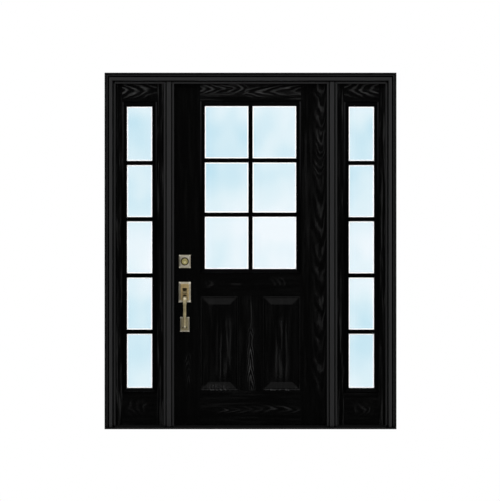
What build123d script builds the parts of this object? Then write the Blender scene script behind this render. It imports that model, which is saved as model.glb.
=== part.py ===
from build123d import *
import math
import os

# Entrance door: a glazed and panelled leaf between two fixed sidelites.
# +X is to the right as seen from outside, the outside faces -Y, +Z is up. Y = 0 is the
# outer face of the wall, and the origin is the middle of the sill's underside.
# Lengths are in millimetres and angles in degrees.

# Door leaf
leaf_width = 908.0
leaf_height = 1996.0
leaf_thickness = 45.0
edge_gap = 5.0
latch_bevel = 3.0
stile_width = 160.0
top_rail_height = 111.5
lock_rail_height = 130.0
bottom_rail_height = 196.0
panel_opening_height = 553.0
mid_stile_width = 140.0

# Raised panels and the sticking round them
panel_margin_thickness = 21.0
panel_field_thickness = 37.0
panel_bevel_width = 38.0
panel_bevel_step = 1.5
sticking_width = 12.0
sticking_lip = 3.0

# Glazing
moulding_width = 27.5
moulding_height = 3.5
moulding_bead = 5.0
moulding_round = 1.5
moulding_flat = 5.0
moulding_floor = 3.0
pane_thickness = 3.0
pane_gap = 12.0
pane_cover = 20.0
spacer_reveal = 6.5
spacer_play = 0.3
bar_width = 24.5
bar_height = 10.0
bar_crown = 10.0
door_column_count = 2
door_row_count = 3
sidelite_row_count = 5

# Frame
jamb_thickness = 17.5
stop_height = 12.5
stop_depth = 66.0
mullion_core = 35.0
sill_thickness = 9.0
sill_nose = 6.0
threshold_rise = 16.0
threshold_lip = 2.0
cover_width = 28.0
cover_thickness = 7.0
cover_bevel = 3.0
inner_cover_width = 20.0
inner_cover_thickness = 5.0
seal_thickness = 4.5
seal_width = 8.0
sweep_clearance = 1.0
sweep_width = 17.0
sweep_inset = 5.0

# Brickmould casing
reveal = 12.0
shadow_groove_width = 5.5
shadow_groove_depth = 12.0
brickmould_width = 46.5
brickmould_thickness = 32.0

# Sidelites
sidelite_width = 305.0
sidelite_fit = 1.0
sidelite_stile_width = 51.5
sidelite_top_rail_height = 119.0
sidelite_bottom_rail_height = 189.0

# Hinges
hinge_height = 102.0
hinge_leaf_width = 35.0
hinge_leaf_thickness = 2.5
hinge_top_inset = 180.0
hinge_bottom_inset = 250.0
knuckle_count = 5
knuckle_radius = 7.0
knuckle_gap = 0.3
hinge_pin_radius = 3.0
hinge_pin_clearance = 0.1
hinge_pin_stand_off = 8.0
hinge_pin_head_radius = 5.0
hinge_pin_head_height = 3.0

# Lock furniture
backset = 70.0
handle_height = 801.0
bore_spacing = 179.0
rosette_width = 68.0
rosette_height = 76.0
rosette_thickness = 8.0
rosette_border = 9.0
rosette_edge = 3.0
cylinder_recess_radius = 23.5
cylinder_recess_depth = 3.5
cylinder_radius = 18.5
cylinder_height = 5.0
plug_radius = 8.0
plug_height = 1.5
keyway_width = 2.0
keyway_height = 9.0
keyway_depth = 3.0
thumbturn_rose_radius = 32.0
thumbturn_rose_thickness = 8.0
thumbturn_length = 44.0
thumbturn_width = 12.0
thumbturn_height = 22.0
lock_bore_radius = 27.0
faceplate_width = 25.0
faceplate_height = 57.0
faceplate_thickness = 2.0
bolt_width = 14.0
bolt_height = 25.0
strike_height = 70.0
strike_width = 28.0
strike_thickness = 2.0

# Handle set
upper_plate_width = 70.0
upper_plate_height = 119.0
upper_plate_border = 13.0
plate_spacing = 188.5
lower_plate_width = 54.0
lower_plate_height = 86.0
lower_plate_border = 8.0
plate_edge = 3.0
plate_thickness = 9.0
thumb_slot_width = 22.0
thumb_slot_rise = 24.0
thumb_slot_drop = 11.0
thumb_neck_width = 12.0
thumb_neck_height = 8.0
thumb_pivot_depth = 5.0
thumb_pivot_rise = 2.0
thumb_pin_radius = 2.0
thumb_pin_clearance = 0.1
thumb_lug_thickness = 4.0
thumb_lug_radius = 5.0
thumb_lug_inset = 13.0
thumb_pad_width = 25.0
thumb_pad_length = 26.0
thumb_pad_angle = 26.0
thumb_pad_thickness = 3.0
thumb_pad_dish = 5.0
thumb_pad_flat = 9.0
thumb_pad_round = 10.0
thumb_pad_clearance = 5.0
thumb_tail_length = 18.0
grip_reach = 52.0
grip_top_inset = 30.0
grip_foot_inset = 22.0
grip_top_width = 28.0
grip_waist_width = 15.0
grip_foot_width = 30.0
grip_depth = 14.0
grip_corner = 5.0
grip_shoulder = 26.0
grip_heel = 32.0
knob_neck_length = 20.0
knob_face_radius = 17.0
knob_edge = 3.0
knob_rose_radius = 33.0
knob_rose_thickness = 8.0
knob_neck_radius = 11.0
knob_radius = 27.0
knob_projection = 62.0

# Places across the frame, measured from the middle
rabbet_x = leaf_width / 2 + edge_gap
mullion_x = rabbet_x + mullion_core / 2
sidelite_rabbet_x = rabbet_x + mullion_core
jamb_rabbet_x = sidelite_rabbet_x + sidelite_width + 2 * sidelite_fit
jamb_x = jamb_rabbet_x + jamb_thickness
door_stop_x = rabbet_x - stop_height
mullion_stop_x = sidelite_rabbet_x + stop_height
jamb_stop_x = jamb_rabbet_x - stop_height
reveal_x = jamb_stop_x + reveal
brickmould_inner_x = reveal_x + shadow_groove_width
brickmould_outer_x = brickmould_inner_x + brickmould_width
leaf_x = leaf_width / 2
opening_x = leaf_x - stile_width
lock_x = -leaf_x + backset

# Places up the frame, measured from the sill's underside
deadbolt_height = handle_height + bore_spacing
lower_plate_z = handle_height - plate_spacing
threshold_z = sill_thickness + threshold_rise
leaf_bottom = threshold_z + edge_gap
leaf_top = leaf_bottom + leaf_height
head_rabbet_z = leaf_top + edge_gap
head_stop_z = head_rabbet_z - stop_height
head_z = head_rabbet_z + jamb_thickness
reveal_z = head_stop_z + reveal
brickmould_inner_z = reveal_z + shadow_groove_width
brickmould_outer_z = brickmould_inner_z + brickmould_width
panel_bottom = leaf_bottom + bottom_rail_height
panel_top = panel_bottom + panel_opening_height
glazing_bottom = panel_top + lock_rail_height
glazing_top = leaf_top - top_rail_height
sidelite_top = head_rabbet_z - sidelite_fit
sidelite_glazing_bottom = threshold_z + sidelite_bottom_rail_height
sidelite_glazing_top = sidelite_top - sidelite_top_rail_height

# Places through the frame, from the outside in
leaf_y = stop_depth + edge_gap
leaf_inner_y = leaf_y + leaf_thickness
frame_depth = leaf_inner_y
leaf_middle_y = leaf_y + leaf_thickness / 2
sidelite_y = stop_depth
sidelite_middle_y = sidelite_y + leaf_thickness / 2
unit_thickness = 2 * pane_thickness + pane_gap

# Hinge axis and the heights of the three hinges
hinge_x = leaf_x + edge_gap / 2
hinge_y = leaf_inner_y + hinge_pin_stand_off
hinge_top_z = leaf_top - hinge_top_inset
hinge_bottom_z = leaf_bottom + hinge_bottom_inset
hinge_heights = (hinge_bottom_z, (hinge_bottom_z + hinge_top_z) / 2, hinge_top_z)

# Thumb latch axis
thumb_pivot_y = leaf_y + thumb_pivot_depth
thumb_pivot_z = handle_height + thumb_pivot_rise

LEFT, RIGHT = -1, 1
SIDES = {"left": LEFT, "right": RIGHT}
OUTSIDE, INSIDE = -1, 1

os.makedirs("parts", exist_ok=True)


def save(piece, name):
    """Label a finished piece and write it under its own name."""
    piece.part.label = name
    export_step(piece.part, f"parts/{name}.step")


def block(x, y, z, mode=Mode.ADD):
    """A block between the two values that are given for each axis."""
    spans = [sorted(span) for span in (x, y, z)]
    with Locations(tuple((low + high) / 2 for low, high in spans)):
        Box(*[high - low for low, high in spans], mode=mode)


def upright(points, z, mode=Mode.ADD):
    """A vertical bar with the given outline in X and Y."""
    with BuildSketch(Plane.XY.offset(z[0])) as outline:
        with BuildLine():
            Polyline(*points, close=True)
        make_face()
    extrude(outline.sketch, amount=z[1] - z[0], mode=mode)


def lying(points, x, mode=Mode.ADD):
    """A level bar along X with the given outline in Y and Z."""
    with BuildSketch(Plane.YZ.offset(x[0])) as outline:
        with BuildLine():
            Polyline(*points, close=True)
        make_face()
    extrude(outline.sketch, amount=x[1] - x[0], mode=mode)


def facing(y, face, x=0.0, z=0.0):
    """A plane in the wall's direction, with its normal to the outside or the inside."""
    return Plane(origin=(x, y, z), x_dir=(-face, 0, 0), z_dir=(0, face, 0))


def raised(y, face, centre, size, top_size, height, mode=Mode.ADD):
    """A rectangle that stands off a face and slopes in to a smaller top."""
    with BuildSketch(facing(y, face, *centre)) as base:
        Rectangle(*size)
    with BuildSketch(facing(y + face * height, face, *centre)) as top:
        Rectangle(*top_size)
    loft([base.sketch, top.sketch], mode=mode)


def ring(x, z, y, face, profile):
    """A moulding swept round the inside of a rectangular opening with mitred corners.

    Each profile point gives the distance in from the opening's edge and the height
    above the plane at y.
    """
    start = (x[0], (z[0] + z[1]) / 2)
    corners = [start, (x[0], z[1]), (x[1], z[1]), (x[1], z[0]), (x[0], z[0])]
    with BuildLine() as path:
        Polyline(*[(across, y, up) for across, up in corners], close=True)
    across_path = Plane(origin=(x[0], y, start[1]), x_dir=(1, 0, 0), z_dir=(0, 0, face))
    with BuildSketch(across_path) as outline:
        with BuildLine():
            Polyline(*profile, close=True)
        make_face()
    sweep(outline.sketch, path=path.wire(), transition=Transition.RIGHT)


def glazing_grid(x, z, y, face, width, height, crown, upright_places, level_places):
    """Crossing bars on one side of the glass, sloped towards their crowns."""
    def profile(middle, sign):
        return [
            (middle - width / 2, y),
            (middle + width / 2, y),
            (middle + width / 2, y + sign * (height - (width - crown) / 2)),
            (middle + crown / 2, y + sign * height),
            (middle - crown / 2, y + sign * height),
            (middle - width / 2, y + sign * (height - (width - crown) / 2)),
        ]
    for place in upright_places:
        upright(profile(place, face), z)
    for place in level_places:
        lying([(depth, up) for up, depth in profile(place, face)], x)


def even_places(span, count):
    """Places of the bars that divide a span into equal lites."""
    return [span[0] + (span[1] - span[0]) * step / count for step in range(1, count)]


def inset(span, distance):
    """A span made shorter by the same distance at both ends."""
    return (span[0] + distance, span[1] - distance)


# Brickmould: a moulded casing, profile from its inner edge outwards
casing_profile = [
    (0, 0),
    (0, 22),
    (3, 26),
    (11, 29),
    (19, 27),
    (23, 22),
    (24, 13),
    (28, 13),
    (28.5, 24),
    (30, 27),
    (34, 27),
    (35.5, 24),
    (36, 14),
    (40, 14),
    (40.5, 29),
    (42, brickmould_thickness),
    (brickmould_width, brickmould_thickness),
    (brickmould_width, 0),
]
top_corner_z = brickmould_outer_z
for name, side in SIDES.items():
    with BuildPart() as brickmould:
        upright(
            [(side * (brickmould_inner_x + out), -depth) for out, depth in casing_profile],
            (sill_thickness, top_corner_z),
        )
        mitre = Plane(origin=(side * brickmould_outer_x, 0, top_corner_z), z_dir=(-side, 0, 1))
        split(bisect_by=mitre, keep=Keep.BOTTOM)
    save(brickmould, f"brickmould_{name}")

with BuildPart() as brickmould_head:
    lying(
        [(-depth, brickmould_inner_z + out) for out, depth in casing_profile],
        (-brickmould_outer_x, brickmould_outer_x),
    )
    for side in SIDES.values():
        mitre = Plane(origin=(side * brickmould_outer_x, 0, top_corner_z), z_dir=(-side, 0, 1))
        split(bisect_by=mitre, keep=Keep.TOP)
save(brickmould_head, "brickmould_head")


def shadow_grooves():
    """Grooves in the outer edge of the jambs and head, just inside the brickmould."""
    depth = (0, shadow_groove_depth)
    for side in SIDES.values():
        block(
            (side * reveal_x, side * brickmould_inner_x),
            depth,
            (sill_thickness, brickmould_inner_z),
            mode=Mode.SUBTRACT,
        )
    block(
        (-brickmould_inner_x, brickmould_inner_x),
        depth,
        (reveal_z, brickmould_inner_z),
        mode=Mode.SUBTRACT,
    )


# Jambs and mullions: boards with the stop towards the outside
for name, side in SIDES.items():
    with BuildPart() as jamb:
        block(
            (side * jamb_rabbet_x, side * jamb_x),
            (0, frame_depth),
            (sill_thickness, head_z),
        )
        block(
            (side * jamb_stop_x, side * jamb_rabbet_x),
            (0, stop_depth),
            (sill_thickness, head_stop_z),
        )
        shadow_grooves()
    save(jamb, f"jamb_{name}")

with BuildPart() as jamb_head:
    block(
        (-jamb_rabbet_x, jamb_rabbet_x),
        (0, frame_depth),
        (head_rabbet_z, head_z),
    )
    block(
        (-jamb_rabbet_x, jamb_rabbet_x),
        (0, stop_depth),
        (head_stop_z, head_rabbet_z),
    )
    shadow_grooves()
save(jamb_head, "jamb_head")


def hinge_knuckle_spans(middle):
    """Heights of the knuckles of one hinge, from the bottom up."""
    pitch = hinge_height / knuckle_count
    bottom = middle - hinge_height / 2
    return [
        (bottom + pitch * step + knuckle_gap / 2, bottom + pitch * (step + 1) - knuckle_gap / 2)
        for step in range(knuckle_count)
    ]


def hinge_mortises(face_x, into):
    """Shallow pockets for the hinge leaves in the face at face_x."""
    for middle in hinge_heights:
        block(
            (face_x, face_x + into * hinge_leaf_thickness),
            (frame_depth - hinge_leaf_width, frame_depth),
            (middle - hinge_height / 2, middle + hinge_height / 2),
            mode=Mode.SUBTRACT,
        )


def strike_span(middle):
    """Height of one strike plate."""
    return (middle - strike_height / 2, middle + strike_height / 2)


strike_y = (leaf_middle_y - strike_width / 2, leaf_middle_y + strike_width / 2)
lock_heights = (deadbolt_height, handle_height)

for name, side in SIDES.items():
    with BuildPart() as mullion:
        block(
            (side * rabbet_x, side * sidelite_rabbet_x),
            (0, frame_depth),
            (sill_thickness, head_stop_z),
        )
        block(
            (side * rabbet_x, side * sidelite_rabbet_x),
            (stop_depth, frame_depth),
            (head_stop_z, head_rabbet_z),
        )
        block(
            (side * door_stop_x, side * mullion_stop_x),
            (0, stop_depth),
            (sill_thickness, head_stop_z),
        )
        for edge in (LEFT, RIGHT):
            cover_edge = side * mullion_x + edge * cover_width / 2
            block(
                (cover_edge, cover_edge + edge * shadow_groove_width),
                (0, shadow_groove_depth),
                (sill_thickness, head_stop_z),
                mode=Mode.SUBTRACT,
            )
        if side == RIGHT:
            hinge_mortises(rabbet_x, RIGHT)
        else:
            for middle in lock_heights:
                block(
                    (-rabbet_x, -rabbet_x - strike_thickness),
                    strike_y,
                    strike_span(middle),
                    mode=Mode.SUBTRACT,
                )
    save(mullion, f"mullion_{name}")

# Cover strips over the mullions
with BuildPart() as mullion_covers_outside:
    for side in SIDES.values():
        middle = side * mullion_x
        half = cover_width / 2
        upright(
            [
                (middle - half, 0),
                (middle - half, cover_bevel - cover_thickness),
                (middle - half + cover_bevel, -cover_thickness),
                (middle + half - cover_bevel, -cover_thickness),
                (middle + half, cover_bevel - cover_thickness),
                (middle + half, 0),
            ],
            (sill_thickness, reveal_z),
        )
save(mullion_covers_outside, "mullion_covers_outside")

with BuildPart() as mullion_covers_inside:
    for side in SIDES.values():
        middle = side * mullion_x
        block(
            (middle - inner_cover_width / 2, middle + inner_cover_width / 2),
            (frame_depth, frame_depth + inner_cover_thickness),
            (sill_thickness, head_z),
        )
save(mullion_covers_inside, "mullion_covers_inside")

# Sill: a plate under the whole frame, with horns under the brickmould
with BuildPart() as sill:
    block(
        (-jamb_x, jamb_x),
        (0, frame_depth),
        (0, sill_thickness),
    )
    block(
        (-brickmould_outer_x, brickmould_outer_x),
        (-brickmould_thickness - sill_nose, 0),
        (0, sill_thickness),
    )
save(sill, "sill")

# Threshold: slopes up from the sill to the flat under the leaf
with BuildPart() as door_threshold:
    lying(
        [
            (0, sill_thickness),
            (0, sill_thickness + threshold_lip),
            (stop_depth, threshold_z),
            (frame_depth, threshold_z),
            (frame_depth, sill_thickness),
        ],
        (-door_stop_x, door_stop_x),
    )
    block(
        (-rabbet_x, rabbet_x),
        (stop_depth, frame_depth),
        (sill_thickness, threshold_z),
    )
save(door_threshold, "door_threshold")

with BuildPart() as sidelite_sill_blocks:
    for side in SIDES.values():
        lying(
            [
                (0, sill_thickness),
                (0, sill_thickness + threshold_lip),
                (stop_depth, threshold_z),
                (frame_depth, threshold_z),
                (frame_depth, sill_thickness),
            ],
            sorted((side * mullion_stop_x, side * jamb_stop_x)),
        )
        block(
            (side * sidelite_rabbet_x, side * jamb_rabbet_x),
            (stop_depth, frame_depth),
            (sill_thickness, threshold_z),
        )
save(sidelite_sill_blocks, "sidelite_sill_blocks")

# Weatherstrip: on the stops, just clear of the leaf
with BuildPart() as weatherstrip:
    seal_y = (stop_depth, stop_depth + seal_thickness)
    seal_edge_x = rabbet_x - (stop_height - seal_width) / 2
    seal_top_z = head_rabbet_z - (stop_height - seal_width) / 2
    for side in SIDES.values():
        block(
            (side * seal_edge_x, side * (seal_edge_x - seal_width)),
            seal_y,
            (threshold_z, seal_top_z),
        )
    block((-seal_edge_x, seal_edge_x), seal_y, (seal_top_z - seal_width, seal_top_z))
save(weatherstrip, "weatherstrip")

# Strike plates in the left mullion, with a hole for each bolt
with BuildPart() as strike_plates:
    for middle in lock_heights:
        block(
            (-rabbet_x, -rabbet_x - strike_thickness),
            strike_y,
            strike_span(middle),
        )
        block(
            (-rabbet_x, -rabbet_x - strike_thickness),
            (leaf_middle_y - bolt_width / 2, leaf_middle_y + bolt_width / 2),
            (middle - bolt_height / 2, middle + bolt_height / 2),
            mode=Mode.SUBTRACT,
        )
save(strike_plates, "strike_plates")

# Sidelites: stiles, rails, glass and trim
sidelite_x = (sidelite_rabbet_x + sidelite_fit, jamb_rabbet_x - sidelite_fit)
sidelite_opening = inset(sidelite_x, sidelite_stile_width)
sidelite_slab_y = (sidelite_y, sidelite_y + leaf_thickness)
with BuildPart() as sidelite_stiles:
    for side in SIDES.values():
        for edge, inner in zip(sidelite_x, sidelite_opening):
            block((side * edge, side * inner), sidelite_slab_y, (threshold_z, sidelite_top))
save(sidelite_stiles, "sidelite_stiles")

with BuildPart() as sidelite_rails:
    for side in SIDES.values():
        across = [side * edge for edge in sidelite_opening]
        block(across, sidelite_slab_y, (threshold_z, sidelite_glazing_bottom))
        block(across, sidelite_slab_y, (sidelite_glazing_top, sidelite_top))
save(sidelite_rails, "sidelite_rails")

# Moulding that holds the glass: a bead at the outer edge and a slope down to the pane
pane_depth = (leaf_thickness - unit_thickness) / 2
moulding_profile = [
    (0, -pane_depth),
    (0, moulding_height - moulding_round),
    (moulding_round, moulding_height),
    (moulding_bead - moulding_round, moulding_height),
    (moulding_bead, moulding_height - moulding_round),
    (moulding_bead + moulding_round, 0),
    (moulding_width / 2, -pane_depth / 3),
    (moulding_width - moulding_flat, -pane_depth + moulding_floor + 1),
    (moulding_width, -pane_depth + moulding_floor),
    (moulding_width, -pane_depth),
]


def panes(x, z, middle_y):
    """The two panes of a sealed glass unit."""
    for face in (OUTSIDE, INSIDE):
        near = middle_y + face * pane_gap / 2
        block(x, (near, near + face * pane_thickness), z)


def spacer_grid(x, z, middle_y, columns_wanted, rows_wanted):
    """The light spacer between the panes, round the edge and behind the bars."""
    outer_x = inset(x, moulding_width - pane_cover)
    outer_z = inset(z, moulding_width - pane_cover)
    inner_x = inset(x, moulding_width + spacer_reveal)
    inner_z = inset(z, moulding_width + spacer_reveal)
    glass_x = inset(x, moulding_width)
    glass_z = inset(z, moulding_width)
    half_depth = pane_gap / 2 - spacer_play
    between = (middle_y - half_depth, middle_y + half_depth)
    half = bar_width / 2 + spacer_reveal
    block(outer_x, between, outer_z)
    columns = [inner_x[0], *even_places(glass_x, columns_wanted), inner_x[1]]
    rows = [inner_z[0], *even_places(glass_z, rows_wanted), inner_z[1]]
    for column in range(columns_wanted):
        for row in range(rows_wanted):
            block(
                (
                    columns[column] + (half if column else 0),
                    columns[column + 1] - (half if column + 1 < columns_wanted else 0),
                ),
                between,
                (
                    rows[row] + (half if row else 0),
                    rows[row + 1] - (half if row + 1 < rows_wanted else 0),
                ),
                mode=Mode.SUBTRACT,
            )


def glass_extent(x, z):
    """The size of the panes, which reach in under the mouldings."""
    hidden = moulding_width - pane_cover
    return inset(x, hidden), inset(z, hidden)


def bars(x, z, middle_y, columns_wanted, rows_wanted):
    """The bars that divide the glass into lites, on both of its faces."""
    glass_x = inset(x, moulding_width)
    glass_z = inset(z, moulding_width)
    for face in (OUTSIDE, INSIDE):
        glazing_grid(
            glass_x,
            glass_z,
            middle_y + face * unit_thickness / 2,
            face,
            bar_width,
            bar_height,
            bar_crown,
            even_places(glass_x, columns_wanted),
            even_places(glass_z, rows_wanted),
        )


def glazing_rings(x, z, middle_y):
    """The mouldings round the glass, on both faces of the leaf or sidelite."""
    for face in (OUTSIDE, INSIDE):
        ring(x, z, middle_y + face * leaf_thickness / 2, face, moulding_profile)


sidelite_glazing_z = (sidelite_glazing_bottom, sidelite_glazing_top)
sidelite_openings = [
    tuple(sorted(side * edge for edge in sidelite_opening)) for side in SIDES.values()
]

with BuildPart() as sidelite_glass:
    for across in sidelite_openings:
        panes(*glass_extent(across, sidelite_glazing_z), sidelite_middle_y)
save(sidelite_glass, "sidelite_glass")

with BuildPart() as sidelite_spacer_grids:
    for across in sidelite_openings:
        spacer_grid(across, sidelite_glazing_z, sidelite_middle_y, 1, sidelite_row_count)
save(sidelite_spacer_grids, "sidelite_spacer_grids")

with BuildPart() as sidelite_glazing_beads:
    for across in sidelite_openings:
        glazing_rings(across, sidelite_glazing_z, sidelite_middle_y)
save(sidelite_glazing_beads, "sidelite_glazing_beads")

with BuildPart() as sidelite_muntins:
    for across in sidelite_openings:
        bars(across, sidelite_glazing_z, sidelite_middle_y, 1, sidelite_row_count)
save(sidelite_muntins, "sidelite_muntins")

# Door leaf: stiles and rails
leaf_span_y = (leaf_y, leaf_inner_y)
leaf_span_z = (leaf_bottom, leaf_top)
bevel_step = leaf_thickness * math.tan(math.radians(latch_bevel))


def edge_plane(z):
    """The bevelled latch edge of the leaf at the height z, with its normal outwards."""
    run = Vector(-bevel_step, leaf_thickness, 0)
    return Plane(
        origin=(-leaf_x + bevel_step / 2, leaf_middle_y, z),
        x_dir=run,
        z_dir=(-leaf_thickness, -bevel_step, 0),
    )


with BuildPart() as lock_stile:
    upright(
        [
            (-leaf_x + bevel_step, leaf_y),
            (-opening_x, leaf_y),
            (-opening_x, leaf_inner_y),
            (-leaf_x, leaf_inner_y),
        ],
        leaf_span_z,
    )
    for middle in lock_heights:
        with BuildSketch(Plane.XZ.offset(-leaf_inner_y)) as bore:
            with Locations((lock_x, middle)):
                Circle(lock_bore_radius)
        extrude(bore.sketch, amount=leaf_thickness, mode=Mode.SUBTRACT)
        with BuildSketch(edge_plane(middle)) as mortise:
            Rectangle(faceplate_width, faceplate_height)
        extrude(mortise.sketch, amount=-faceplate_thickness, mode=Mode.SUBTRACT)
save(lock_stile, "lock_stile")

with BuildPart() as hinge_stile:
    block((opening_x, leaf_x), leaf_span_y, leaf_span_z)
    hinge_mortises(leaf_x, LEFT)
save(hinge_stile, "hinge_stile")

rails = {
    "bottom_rail": (leaf_bottom, panel_bottom),
    "lock_rail": (panel_top, glazing_bottom),
    "top_rail": (glazing_top, leaf_top),
}
for name, span in rails.items():
    with BuildPart() as rail:
        block((-opening_x, opening_x), leaf_span_y, span)
    save(rail, name)

panel_z = (panel_bottom, panel_top)
mid_x = mid_stile_width / 2
with BuildPart() as mid_stile:
    block((-mid_x, mid_x), leaf_span_y, panel_z)
save(mid_stile, "mid_stile")

# Raised panels with a sloped border, and the sticking that frames them
panel_openings = [
    tuple(sorted((side * mid_x, side * opening_x))) for side in SIDES.values()
]
margin_depth = (leaf_thickness - panel_margin_thickness) / 2
field_rise = (panel_field_thickness - panel_margin_thickness) / 2
with BuildPart() as door_panels:
    for across in panel_openings:
        middle = (sum(across) / 2, sum(panel_z) / 2)
        size = [across[1] - across[0], panel_z[1] - panel_z[0]]
        slope_size = [side - 2 * sticking_width for side in size]
        field_size = [side - 2 * panel_bevel_width for side in slope_size]
        block(
            across,
            (leaf_y + margin_depth, leaf_inner_y - margin_depth),
            panel_z,
        )
        for face in (OUTSIDE, INSIDE):
            margin_y = leaf_middle_y + face * panel_margin_thickness / 2
            raised(
                margin_y,
                face,
                middle,
                slope_size,
                field_size,
                field_rise - panel_bevel_step,
            )
            raised(
                margin_y + face * (field_rise - panel_bevel_step),
                face,
                middle,
                field_size,
                field_size,
                panel_bevel_step,
            )
save(door_panels, "door_panels")

sticking_profile = [
    (0, -margin_depth),
    (0, 0),
    (sticking_lip, 0),
    (sticking_lip + 1, -2),
    (sticking_width - 4, -4),
    (sticking_width - 1, -8),
    (sticking_width, -margin_depth),
]
with BuildPart() as panel_mouldings:
    for across in panel_openings:
        ring(across, panel_z, leaf_y, OUTSIDE, sticking_profile)
        ring(across, panel_z, leaf_inner_y, INSIDE, sticking_profile)
save(panel_mouldings, "panel_mouldings")

# Door glass and its trim
door_opening = (-opening_x, opening_x)
door_glazing_z = (glazing_bottom, glazing_top)
with BuildPart() as door_glass:
    panes(*glass_extent(door_opening, door_glazing_z), leaf_middle_y)
save(door_glass, "door_glass")

with BuildPart() as door_spacer_grid:
    spacer_grid(door_opening, door_glazing_z, leaf_middle_y, door_column_count, door_row_count)
save(door_spacer_grid, "door_spacer_grid")

with BuildPart() as door_glazing_beads:
    glazing_rings(door_opening, door_glazing_z, leaf_middle_y)
save(door_glazing_beads, "door_glazing_beads")

with BuildPart() as door_muntins:
    bars(door_opening, door_glazing_z, leaf_middle_y, door_column_count, door_row_count)
save(door_muntins, "door_muntins")

# Sweep under the leaf
with BuildPart() as door_sweep:
    block(
        (-leaf_x + sweep_inset, leaf_x - sweep_inset),
        (leaf_middle_y - sweep_width / 2, leaf_middle_y + sweep_width / 2),
        (threshold_z + sweep_clearance, leaf_bottom),
    )
save(door_sweep, "door_sweep")


def barrel(span, radius, mode=Mode.ADD):
    """A round bar on the hinge axis."""
    with BuildSketch(Plane.XY.offset(span[0])) as outline:
        with Locations((hinge_x, hinge_y)):
            Circle(radius)
    extrude(outline.sketch, amount=span[1] - span[0], mode=mode)


def hinge_leaf(face_x, into, knuckle_steps):
    """The mortised leaves of the three hinges with every other knuckle."""
    plate_x = (face_x, face_x + into * hinge_leaf_thickness)
    for middle in hinge_heights:
        spans = hinge_knuckle_spans(middle)
        block(
            plate_x,
            (frame_depth - hinge_leaf_width, frame_depth),
            (middle - hinge_height / 2, middle + hinge_height / 2),
        )
        for step in knuckle_steps:
            block(plate_x, (frame_depth, hinge_y - hinge_leaf_thickness), spans[step])
            barrel(spans[step], knuckle_radius)
        barrel(
            (middle - hinge_height / 2, middle + hinge_height / 2),
            hinge_pin_radius + hinge_pin_clearance,
            mode=Mode.SUBTRACT,
        )


# Hinges: the frame holds the odd knuckles and the leaf the even ones
with BuildPart() as hinge_leaves_frame:
    hinge_leaf(rabbet_x, RIGHT, range(0, knuckle_count, 2))
save(hinge_leaves_frame, "hinge_leaves_frame")

with BuildPart() as hinge_leaves_door:
    hinge_leaf(leaf_x, LEFT, range(1, knuckle_count, 2))
save(hinge_leaves_door, "hinge_leaves_door")

with BuildPart() as hinge_pins:
    for middle in hinge_heights:
        bottom = middle - hinge_height / 2
        top = middle + hinge_height / 2
        barrel((bottom, top), hinge_pin_radius)
        barrel((top, top + hinge_pin_head_height), hinge_pin_head_radius)
        barrel((bottom - hinge_pin_head_height, bottom), hinge_pin_head_radius)
save(hinge_pins, "hinge_pins")


def plate(y, face, centre, size, border, edge, thickness):
    """A rectangular plate with a straight edge and a sloped border."""
    raised(y, face, centre, size, size, edge)
    top_size = [side - 2 * border for side in size]
    raised(y + face * edge, face, centre, size, top_size, thickness - edge)


def disc(y, face, centre, radius, height, mode=Mode.ADD):
    """A round boss that stands off a face."""
    with BuildSketch(facing(y, face, *centre)) as outline:
        Circle(radius)
    extrude(outline.sketch, amount=height, mode=mode)


# Deadbolt: square rosette outside, thumbturn inside
deadbolt_centre = (lock_x, deadbolt_height)
rosette_y = leaf_y - rosette_thickness
with BuildPart() as deadbolt_rosette:
    plate(
        leaf_y,
        OUTSIDE,
        deadbolt_centre,
        (rosette_width, rosette_height),
        rosette_border,
        rosette_edge,
        rosette_thickness,
    )
    disc(
        rosette_y,
        OUTSIDE,
        deadbolt_centre,
        cylinder_recess_radius,
        -cylinder_recess_depth,
        mode=Mode.SUBTRACT,
    )
save(deadbolt_rosette, "deadbolt_rosette")

with BuildPart() as deadbolt_cylinder:
    recess_y = rosette_y + cylinder_recess_depth
    disc(recess_y, OUTSIDE, deadbolt_centre, cylinder_radius, cylinder_height)
    plug_y = recess_y - cylinder_height
    disc(plug_y, OUTSIDE, deadbolt_centre, plug_radius, plug_height)
    block(
        (lock_x - keyway_width / 2, lock_x + keyway_width / 2),
        (plug_y - plug_height, plug_y - plug_height + keyway_depth),
        (deadbolt_height - keyway_height / 2, deadbolt_height + keyway_height / 2),
        mode=Mode.SUBTRACT,
    )
save(deadbolt_cylinder, "deadbolt_cylinder")

with BuildPart() as deadbolt_thumbturn:
    disc(leaf_inner_y, INSIDE, deadbolt_centre, thumbturn_rose_radius, thumbturn_rose_thickness)
    turn_y = leaf_inner_y + thumbturn_rose_thickness
    raised(
        turn_y,
        INSIDE,
        deadbolt_centre,
        (thumbturn_length, thumbturn_width),
        (thumbturn_length, thumbturn_width / 2),
        thumbturn_height,
    )
save(deadbolt_thumbturn, "deadbolt_thumbturn")

# Faceplates of the two bolts, let into the bevelled edge
with BuildPart() as edge_faceplates:
    for middle in lock_heights:
        with BuildSketch(edge_plane(middle)) as outline:
            Rectangle(faceplate_width, faceplate_height)
        extrude(outline.sketch, amount=-faceplate_thickness)
save(edge_faceplates, "edge_faceplates")

# Upper handle plate, with the slot for the thumb piece and the lugs of its pin
upper_centre = (lock_x, handle_height)
thumb_lug_end = thumb_lug_inset + thumb_lug_thickness
lug_spans = [
    (lock_x - thumb_lug_end, lock_x - thumb_lug_inset),
    (lock_x + thumb_lug_inset, lock_x + thumb_lug_end),
]


def thumb_axis_bar(x, radius, mode=Mode.ADD):
    """A round bar on the thumb latch's axis."""
    with BuildSketch(Plane.YZ.offset(x[0])) as outline:
        with Locations((thumb_pivot_y, thumb_pivot_z)):
            Circle(radius)
    extrude(outline.sketch, amount=x[1] - x[0], mode=mode)


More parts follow.
